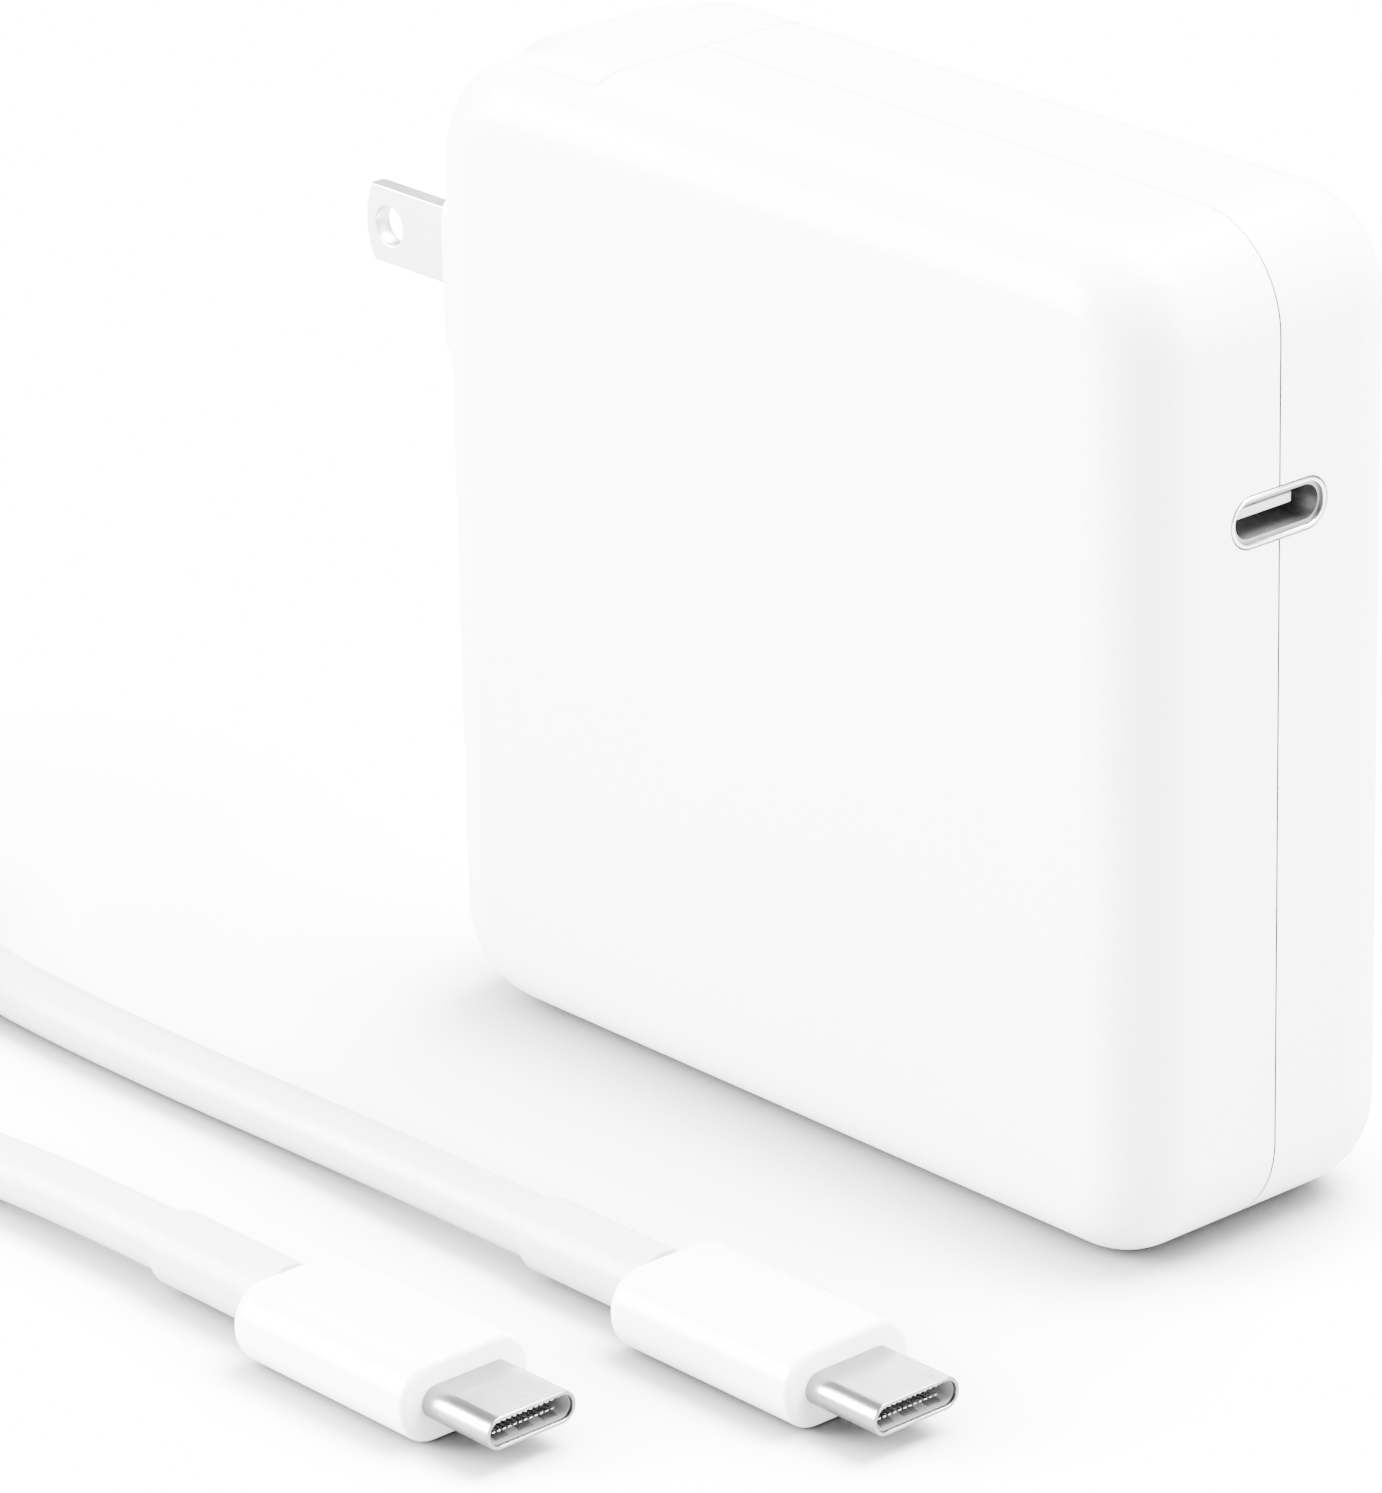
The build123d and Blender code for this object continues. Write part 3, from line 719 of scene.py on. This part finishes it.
# Each finish: how it is made, its colour or the setting that holds it, and its values.
FINISHES = {
    "shell_white": (case_plastic, "case", look(CASE_GLOSS, CASE_DULL, under=0.06)),
    "plug_white": (plastic, "plug", look(CASE_GLOSS, CASE_DULL, under=0.06)),
    "overmould_white": (plastic, "case", look(0.16, 0.26, relief=0.12, under=0.06)),
    "cable_white": (plastic, "cable", look(0.34, 0.46, grain=2600.0, relief=0.2, under=0.08)),
    "tie_white": (plastic, "cable", look(0.4, 0.55, grain=3200.0, relief=0.35)),
    "insulator_light": (plastic, rgb(0.55, 0.55, 0.56), look(0.35, 0.5)),
    "insulator_dark": (plastic, rgb(0.02, 0.02, 0.022), look(0.35, 0.5, shade=0.6)),
    "semiconductor": (plastic, rgb(0.012, 0.012, 0.013), look(0.45, 0.6, shade=0.6, relief=0.3)),
    "ferrite": (
        plastic,
        rgb(0.03, 0.028, 0.027),
        look(0.5, 0.7, shade=0.6, grain=2600.0, relief=0.5),
    ),
    "bobbin": (plastic, rgb(0.02, 0.02, 0.022), look(0.38, 0.5, shade=0.6)),
    "capacitor_sleeve": (plastic, rgb(0.015, 0.02, 0.06), look(0.2, 0.35, shade=0.7)),
    "film_yellow": (plastic, rgb(0.72, 0.5, 0.03), look(0.3, 0.42, shade=0.85)),
    "ceramic_blue": (plastic, rgb(0.03, 0.11, 0.34), look(0.28, 0.42, shade=0.75, relief=0.3)),
    "insulation_film": (plastic, rgb(0.62, 0.45, 0.12), look(0.18, 0.3, shade=0.85)),
    "pad_grey": (plastic, rgb(0.25, 0.27, 0.3), look(0.6, 0.8, shade=0.8, relief=0.5)),
    "mouth_grey": (plastic, rgb(0.16, 0.16, 0.165), look(0.3, 0.42, shade=0.85)),
    # Painted shade: the dark boxes in a plug's mouth stand for the shade inside its spring windows.
    "window_dark": (plastic, rgb(0.05, 0.05, 0.052), look(0.3, 0.42, shade=0.8)),
    "blade_metal": (metal, rgb(0.6, 0.6, 0.605), look(0.28, 0.4, shade=0.88)),
    "plug_metal": (metal, rgb(0.27, 0.27, 0.275), look(0.2, 0.32, shade=0.85)),
    "port_metal": (metal, rgb(0.8, 0.8, 0.8), look(0.12, 0.2, shade=0.95)),
    "port_liner": (metal, rgb(0.24, 0.24, 0.245), look(0.38, 0.45, shade=0.9)),
    "contact_pale": (metal, rgb(0.75, 0.74, 0.7), look(0.2, 0.3)),
    "contact_gold": (metal, rgb(0.83, 0.6, 0.24), look(0.15, 0.28, stretch=(0.2, 1.0, 1.0))),
    "pin_metal": (metal, "metal", look(0.15, 0.3, stretch=(1.0, 1.0, 0.08))),
    "spring_steel": (metal, rgb(0.55, 0.55, 0.56), look(0.2, 0.34)),
    "heat_metal": (metal, rgb(0.78, 0.78, 0.79), look(0.3, 0.5, stretch=(1.0, 1.0, 0.06))),
    "winding": (wire, rgb(0.55, 0.2, 0.06), {}),
    "board_green": (printed_board, rgb(0.01, 0.09, 0.03), {}),
}


def finish_of(slot):
    """The finished material for a slot, built the first time it is asked for."""
    name = slot + "_finish"
    if name not in bpy.data.materials:
        make, colour, values = FINISHES[slot]
        if isinstance(colour, str):
            colour = tuple(getattr(colours(), colour))
        make(name, colour, **values)
    return bpy.data.materials[name]


def dress(*names, finish=None):
    """The CAD nodes keep their shape and take their slot's finish, or another one."""
    for name in names:
        for held in NODES[name].material_slots:
            slot = held.material.name.split(".")[0]
            held.material = finish_of(finish or slot)


def give(piece, slot, body, finish=None):
    """A new piece takes a finish, its own or its slot's, and rides on a body."""
    piece.data.materials.clear()
    piece.data.materials.append(finish_of(finish or slot))
    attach(piece, body)


# ---------------------------------------------------------------- mesh tools


def deselect():
    """Nothing is selected, and the object under way is out of edit mode."""
    if bpy.context.object and bpy.context.object.mode != "OBJECT":
        bpy.ops.object.mode_set(mode="OBJECT")
    bpy.ops.object.select_all(action="DESELECT")


def pick_points(piece, test):
    """Edit mode, with the points whose place passes the test selected."""
    bpy.ops.object.mode_set(mode="EDIT")
    bpy.ops.mesh.select_mode(type="VERT")
    bpy.ops.mesh.select_all(action="DESELECT")
    bpy.ops.object.mode_set(mode="OBJECT")
    for point in piece.data.vertices:
        point.select = test(point.co)
    bpy.ops.object.mode_set(mode="EDIT")


def pick_faces(piece, test):
    """Edit mode, with the faces whose centre and normal pass the test selected."""
    bpy.ops.object.mode_set(mode="EDIT")
    bpy.ops.mesh.select_mode(type="FACE")
    bpy.ops.mesh.select_all(action="DESELECT")
    bpy.ops.object.mode_set(mode="OBJECT")
    for face in piece.data.polygons:
        face.select = test(face.center, face.normal)
    bpy.ops.object.mode_set(mode="EDIT")


def settle(piece):
    """The piece's place, turn and size go into its mesh."""
    if piece.mode != "OBJECT":
        bpy.ops.object.mode_set(mode="OBJECT")
    bpy.ops.object.transform_apply(location=True, rotation=True, scale=True)


def start_stadium(name, middle, size, low_x, high_x, points=48):
    """A bar along X whose ends are full rounds: a cylinder, its two halves pulled apart."""
    deselect()
    bpy.ops.mesh.primitive_cylinder_add(
        vertices=points,
        radius=size[1] / 2,
        depth=high_x - low_x,
        location=((low_x + high_x) / 2, middle[0], middle[1]),
        rotation=(0.0, math.pi / 2, 0.0),
    )
    piece = bpy.context.object
    piece.name = name
    settle(piece)
    apart = (size[0] - size[1]) / 2
    for side in (-1, 1):
        pick_points(piece, lambda place: side * (place.y - middle[0]) > size[1] * PAST_MIDDLE)
        bpy.ops.transform.translate(value=(0.0, side * apart, 0.0))
    bpy.ops.object.mode_set(mode="OBJECT")
    return piece


def soften(piece, width, segments):
    """Rounds the piece's edges, then shades it smooth between them."""
    bevel = piece.modifiers.new("round", "BEVEL")
    bevel.width = width
    bevel.segments = segments
    bevel.limit_method = "ANGLE"
    bevel.angle_limit = EDGE_ANGLE
    bpy.ops.object.modifier_apply(modifier=bevel.name)
    bpy.ops.object.shade_smooth_by_angle(angle=SMOOTH_ANGLE)
    weight = piece.modifiers.new("flat", "WEIGHTED_NORMAL")
    weight.keep_sharp = True
    bpy.ops.object.modifier_apply(modifier=weight.name)


# ---------------------------------------------------------------- pieces


def refine(node, name, width, body, segments=2):
    """A copy of a CAD node, joined into whole faces, with its edges eased. It replaces the node."""
    deselect()
    source = NODES[node]
    slot = source.material_slots[0].material.name.split(".")[0]
    piece = bpy.data.objects.new(name, source.data.copy())
    bpy.context.scene.collection.objects.link(piece)
    piece.select_set(True)
    bpy.context.view_layer.objects.active = piece
    bpy.ops.mesh.customdata_custom_splitnormals_clear()
    bpy.ops.object.mode_set(mode="EDIT")
    bpy.ops.mesh.select_all(action="SELECT")
    bpy.ops.mesh.remove_doubles(threshold=WELD)
    bpy.ops.mesh.dissolve_limited(angle_limit=FLAT_ANGLE)
    settle(piece)
    soften(piece, width, segments)
    give(piece, slot, body)
    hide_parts(node)


class ADAPTER_OT_case(bpy.types.Operator):
    """Finish the two welded halves of the case"""

    bl_idname = "adapter.case"
    bl_label = "Case halves"

    def execute(self, context):
        dress("front_shell", "rear_shell")
        return {"FINISHED"}


class ADAPTER_OT_output_port(bpy.types.Operator):
    """Model the output port's bright rim, and finish its liner, tongue and contacts"""

    bl_idname = "adapter.output_port"
    bl_label = "Output port"

    def execute(self, context):
        low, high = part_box("port_rim")
        middle = ((low.y + high.y) / 2, (low.z + high.z) / 2)
        size = (high.y - low.y - 2 * RIM_GAP, high.z - low.z - 2 * RIM_GAP)
        rim = start_stadium("output_port_rim", middle, size, low.x, high.x, RIM_POINTS)
        pick_faces(rim, lambda place, normal: abs(normal.x) > FACING)
        bpy.ops.mesh.inset(thickness=RIM_WIDTH - RIM_GAP)
        bpy.ops.mesh.bridge_edge_loops()
        settle(rim)
        soften(rim, RIM_ROUND, 4)
        give(rim, "port_metal", "adapter")
        # The rim's side walls take the liner's darker finish: painted shade in the gap round the
        # rim and at the mouth of the port.
        rim.data.materials.append(finish_of("port_liner"))
        for face in rim.data.polygons:
            face.material_index = int(abs(face.normal.x) < BESIDE)
        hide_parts("port_rim")
        dress("port_shell", finish="port_liner")
        dress("port_tongue", "port_contacts")
        return {"FINISHED"}


class ADAPTER_OT_inlet(bpy.types.Operator):
    """Finish the mains inlet, its pins and the locking stud"""

    bl_idname = "adapter.inlet"
    bl_label = "Mains inlet"

    def execute(self, context):
        dress("inlet_block", "inlet_pin_front", "inlet_pin_rear", "locking_stud")
        return {"FINISHED"}


class ADAPTER_OT_plug_piece(bpy.types.Operator):
    """Finish the removable plug piece"""

    bl_idname = "adapter.plug_piece"
    bl_label = "Plug piece"

    def execute(self, context):
        dress(
            "plug_housing",
            "plug_cover",
            "pivot_pin",
            "plug_socket_front",
            "plug_socket_rear",
            "detent_spring",
        )
        return {"FINISHED"}


class ADAPTER_OT_prongs(bpy.types.Operator):
    """Ease the edges of the two folding blades, and finish the barrel that carries them"""

    bl_idname = "adapter.prongs"
    bl_label = "Prongs"

    def execute(self, context):
        refine("blade_front", "prong_front", BLADE_EASE, "prongs")
        refine("blade_rear", "prong_rear", BLADE_EASE, "prongs")
        dress("prong_barrel")
        return {"FINISHED"}


class ADAPTER_OT_circuit(bpy.types.Operator):
    """Finish the circuit boards and the parts on them"""

    bl_idname = "adapter.circuit"
    bl_label = "Circuit"

    def execute(self, context):
        dress(
            "main_board",
            "control_board",
            "port_board",
            "bulk_capacitors",
            "output_capacitors",
            "inlet_choke",
            "inlet_fuse",
            "x_capacitor",
            "y_capacitor",
            "bridge_rectifier",
            "main_transistor",
            "output_rectifier",
        )
        return {"FINISHED"}


class ADAPTER_OT_transformer(bpy.types.Operator):
    """Finish the transformer's core, bobbin and winding"""

    bl_idname = "adapter.transformer"
    bl_label = "Transformer"

    def execute(self, context):
        dress("transformer_core", "transformer_bobbin", "transformer_winding")
        return {"FINISHED"}


class ADAPTER_OT_cooling(bpy.types.Operator):
    """Finish the heat sinks, the spreader, the pad and the insulation sheet"""

    bl_idname = "adapter.cooling"
    bl_label = "Cooling"

    def execute(self, context):
        dress(
            "primary_heat_sink",
            "output_heat_sink",
            "heat_spreader",
            "thermal_pad",
            "insulation_sheet",
        )
        return {"FINISHED"}


def add_tip_liner(end):
    """The grey moulding in a plug's metal shell: a funnelled mouth, then a slot for the tongue."""
    low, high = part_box(end + "_tip_insulator")
    middle = ((low.y + high.y) / 2, (low.z + high.z) / 2)
    size = (high.y - low.y, high.z - low.z)
    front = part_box(end + "_tip_shell")[1].x - LINER_SET_BACK
    liner = start_stadium(end + "_tip_liner", middle, size, low.x, front)
    pick_faces(liner, lambda place, normal: normal.x > FACING)
    bpy.ops.mesh.inset(thickness=LINER_LIP)
    bpy.ops.mesh.extrude_region_move(TRANSFORM_OT_translate={"value": (-THROAT_DEPTH, 0.0, 0.0)})
    bpy.ops.transform.resize(
        value=(1.0, 1.0 - 2 * THROAT[0] / size[0], 1.0 - 2 * THROAT[1] / size[1]),
        center_override=(front - THROAT_DEPTH, middle[0], middle[1]),
    )
    bpy.ops.mesh.extrude_region_move(
        TRANSFORM_OT_translate={"value": (-TONGUE_SLOT_DEPTH, 0.0, 0.0)}
    )
    settle(liner)
    soften(liner, LINER_EASE, 2)
    give(liner, "insulator_dark", "adapter", finish="mouth_grey")
    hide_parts(end + "_tip_insulator")


def add_tip_windows(end):
    """Three dark boxes in the lower lip of a plug's mouth: painted shade where its spring windows
    are.
    """
    low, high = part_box(end + "_tip_insulator")
    middle_y = (low.y + high.y) / 2
    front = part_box(end + "_tip_shell")[1].x - LINER_SET_BACK
    slope = math.atan2(THROAT[1], THROAT_DEPTH)
    parts = []
    for step in (-1, 0, 1):
        deselect()
        bpy.ops.mesh.primitive_cube_add(
            size=1.0,
            location=(
                front - THROAT_DEPTH * 0.5,
                middle_y + step * WINDOW_PITCH,
                low.z + LINER_LIP + THROAT[1] * 0.5,
            ),
            rotation=(0.0, slope, 0.0),
            scale=WINDOW,
        )
        part = bpy.context.object
        settle(part)
        soften(part, WINDOW_EASE, 2)
        parts.append(part)
    deselect()
    for part in parts:
        part.select_set(True)
    bpy.context.view_layer.objects.active = parts[0]
    bpy.ops.object.join()
    windows = bpy.context.object
    windows.name = end + "_tip_windows"
    give(windows, "insulator_dark", "adapter", finish="window_dark")


class ADAPTER_OT_cable_plugs(bpy.types.Operator):
    """Finish the two plugs of the charge cable"""

    bl_idname = "adapter.cable_plugs"
    bl_label = "Cable plugs"

    def execute(self, context):
        for end in ("near", "far"):
            add_tip_liner(end)
            add_tip_windows(end)
            refine(end + "_tip_shell", end + "_tip_metal", TIP_EASE, "adapter", segments=3)
            dress(end + "_overmould", end + "_sleeve")
            dress(end + "_tip_contacts", finish="contact_pale")
        dress("cable_tie")
        return {"FINISHED"}


def smooth_step(share):
    """From 0 to 1, gently at both ends."""
    share = min(max(share, 0.0), 1.0)
    return share * share * (3.0 - 2.0 * share)


def coil_points():
    """Control points of the coil's turns: each layer spirals in or out, then climbs to the next."""
    outer, inner = sizes().coil_outer / MM, sizes().coil_inner / MM
    total = COIL_LAYERS * TURNS_PER_LAYER
    count = round(total * POINTS_PER_TURN)
    points = []
    for index in range(count + 1):
        turns = total * index / count
        layer = min(int(turns / TURNS_PER_LAYER), COIL_LAYERS - 1)
        share = turns / TURNS_PER_LAYER - layer
        inward = share if layer % 2 == 0 else 1.0 - share
        radius = outer + (inner - outer) * inward
        nearest = round(turns / TURNS_PER_LAYER)
        lift = layer
        if 0 < nearest < COIL_LAYERS:
            past = (turns - nearest * TURNS_PER_LAYER) / CLIMB_TURNS + 0.5
            if 0.0 < past < 1.0:
                lift = nearest - 1 + smooth_step(past)
        angle = -math.pi / 2 - 2 * math.pi * turns
        points.append(
            (
                COIL_CENTRE[0] + radius * math.cos(angle),
                COIL_CENTRE[1] + radius * math.sin(angle),
                sizes().coil_rest / MM + lift * sizes().layer_pitch / MM,
            )
        )
    return points


class ADAPTER_OT_charge_cable(bpy.types.Operator):
    """Lay the charge cable: a free run from each plug, and the rest wound in a tied coil"""

    bl_idname = "adapter.charge_cable"
    bl_label = "Charge cable"

    def execute(self, context):
        points = NEAR_RUN + coil_points() + FAR_RUN
        curve = bpy.data.curves.new("charge_cable", "CURVE")
        curve.dimensions = "3D"
        curve.resolution_u = CABLE_RESOLUTION
        curve.bevel_depth = sizes().cable_diameter / 2
        curve.bevel_resolution = CABLE_RESOLUTION
        curve.use_fill_caps = True
        spline = curve.splines.new("NURBS")
        spline.points.add(len(points) - 1)
        for point, place in zip(spline.points, points):
            point.co = (place[0] * MM, place[1] * MM, place[2] * MM, 1.0)
        spline.order_u = 3
        spline.use_endpoint_u = True
        cable = bpy.data.objects.new("charge_cable", curve)
        context.scene.collection.objects.link(cable)
        give(cable, "cable_white", "adapter")
        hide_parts("near_lead", "far_lead", "cable_coil")
        return {"FINISHED"}


# ---------------------------------------------------------------- stage


def camera_matrix():
    """The camera's place and turn, from its angles round the adapter."""
    back = Vector(
        (
            math.sin(CAMERA_AZIMUTH) * math.cos(CAMERA_ELEVATION),
            -math.cos(CAMERA_AZIMUTH) * math.cos(CAMERA_ELEVATION),
            math.sin(CAMERA_ELEVATION),
        )
    )
    right = Vector((0.0, 0.0, 1.0)).cross(back).normalized()
    up = back.cross(right)
    cosine, sine = math.cos(CAMERA_ROLL), math.sin(CAMERA_ROLL)
    right, up = cosine * right + sine * up, -sine * right + cosine * up
    place = Vector(CAMERA_AIM) + back * CAMERA_DISTANCE
    place += right * CAMERA_OFFSET[0] + up * CAMERA_OFFSET[1]
    turned = Matrix((right, up, back)).transposed().to_4x4()
    return Matrix.Translation(place * MM) @ turned


def add_softbox(name, place, width, height, power):
    """A soft rectangular light, aimed at the middle of the adapter."""
    bpy.ops.object.light_add(type="AREA", location=place)
    light = bpy.context.object
    light.name = name
    light.data.shape = "RECTANGLE"
    light.data.size = width
    light.data.size_y = height
    light.data.energy = power
    toward = Vector(LIGHT_AIM) - Vector(place)
    light.rotation_euler = toward.to_track_quat("-Z", "Y").to_euler()


def floor_material():
    """Pale paper that throws back less light than it shows, with a painted contact shadow where
    something stands on it.
    """
    material, shader, place = start_material("floor_paper")
    effect = place_group(
        material,
        skin_group(),
        {
            "Colour": rgb(0.97, 0.97, 0.97),
            "Shade": rgb(0.95, 0.95, 0.95),
            "Mottle Scale": 6.0,
            "Grain Scale": 600.0,
            "Gloss": 0.55,
            "Dull": 0.7,
        },
    )
    links = material.node_tree.links
    links.new(place, effect.inputs["Vector"])
    connect(material, shader, effect, FLOOR_STRENGTH, PLASTIC_RELIEF)
    shader.inputs["Specular IOR Level"].default_value = FLOOR_SHINE
    # An ambient occlusion node paints a contact shadow into the colour that the camera sees.
    contact_shadow = material.node_tree.nodes.new("ShaderNodeAmbientOcclusion")
    contact_shadow.samples = CONTACT_SHADOW_SAMPLES
    contact_shadow.inputs["Distance"].default_value = CONTACT_SHADOW_REACH
    links.new(effect.outputs["Colour"], contact_shadow.inputs["Color"])
    ray = material.node_tree.nodes.new("ShaderNodeLightPath")
    mix = material.node_tree.nodes.new("ShaderNodeMix")
    mix.data_type = "RGBA"
    mix.inputs[6].default_value = rgb(FLOOR_BOUNCE, FLOOR_BOUNCE, FLOOR_BOUNCE)
    links.new(ray.outputs["Is Camera Ray"], mix.inputs[0])
    links.new(contact_shadow.outputs["Color"], mix.inputs[7])
    links.new(mix.outputs[2], shader.inputs["Base Color"])
    return material


class ADAPTER_OT_stage(bpy.types.Operator):
    """Set the floor, the lights and the camera"""

    bl_idname = "adapter.stage"
    bl_label = "Stage"

    def execute(self, context):
        deselect()
        bpy.ops.mesh.primitive_plane_add(size=stage().floor_size, location=(0.0, 0.0, -FLOOR_DROP))
        floor = context.object
        floor.name = "floor"
        floor.data.materials.append(floor_material())
        world = bpy.data.worlds.new("room")
        context.scene.world = world
        world.use_nodes = True
        background = world.node_tree.nodes["Background"]
        background.inputs["Color"].default_value = (1.0, 1.0, 1.0, 1.0)
        background.inputs["Strength"].default_value = stage().room_strength
        for name, place, width, height, power in SOFTBOXES:
            add_softbox(name, place, width, height, getattr(stage(), power))
        bpy.ops.object.camera_add()
        camera = context.object
        camera.name = "camera"
        camera.matrix_world = camera_matrix()
        camera.data.lens = stage().lens
        camera.data.sensor_width = SENSOR_WIDTH
        camera.data.clip_start = CLIP_START
        camera.data.clip_end = CLIP_END
        context.scene.camera = camera
        return {"FINISHED"}


# ---------------------------------------------------------------- panel


OPERATORS = (
    ADAPTER_OT_case,
    ADAPTER_OT_output_port,
    ADAPTER_OT_inlet,
    ADAPTER_OT_plug_piece,
    ADAPTER_OT_prongs,
    ADAPTER_OT_circuit,
    ADAPTER_OT_transformer,
    ADAPTER_OT_cooling,
    ADAPTER_OT_cable_plugs,
    ADAPTER_OT_charge_cable,
    ADAPTER_OT_stage,
)


class ADAPTER_PT_panel(bpy.types.Panel):
    """Sizes, colours and the steps that build the adapter"""

    bl_idname = "ADAPTER_PT_panel"
    bl_label = "Power Adapter"
    bl_space_type = "VIEW_3D"
    bl_region_type = "UI"
    bl_category = "Power Adapter"

    def draw(self, context):
        for settings in (colours(), sizes(), stage()):
            box = self.layout.box()
            for name in settings.__annotations__:
                box.prop(settings, name)
        for operator in OPERATORS:
            self.layout.operator(operator.bl_idname)


CLASSES = (AdapterColours, AdapterSizes, AdapterStage) + OPERATORS + (ADAPTER_PT_panel,)


def register():
    for cls in CLASSES:
        bpy.utils.register_class(cls)
    bpy.types.Scene.adapter_colours = PointerProperty(type=AdapterColours)
    bpy.types.Scene.adapter_sizes = PointerProperty(type=AdapterSizes)
    bpy.types.Scene.adapter_stage = PointerProperty(type=AdapterStage)


def unregister():
    del bpy.types.Scene.adapter_stage
    del bpy.types.Scene.adapter_sizes
    del bpy.types.Scene.adapter_colours
    for cls in reversed(CLASSES):
        bpy.utils.unregister_class(cls)


def main():
    """Builds everything in order."""
    register()
    for operator in OPERATORS:
        getattr(bpy.ops.adapter, operator.bl_idname.split(".")[1])()


if __name__ == "__main__":
    main()
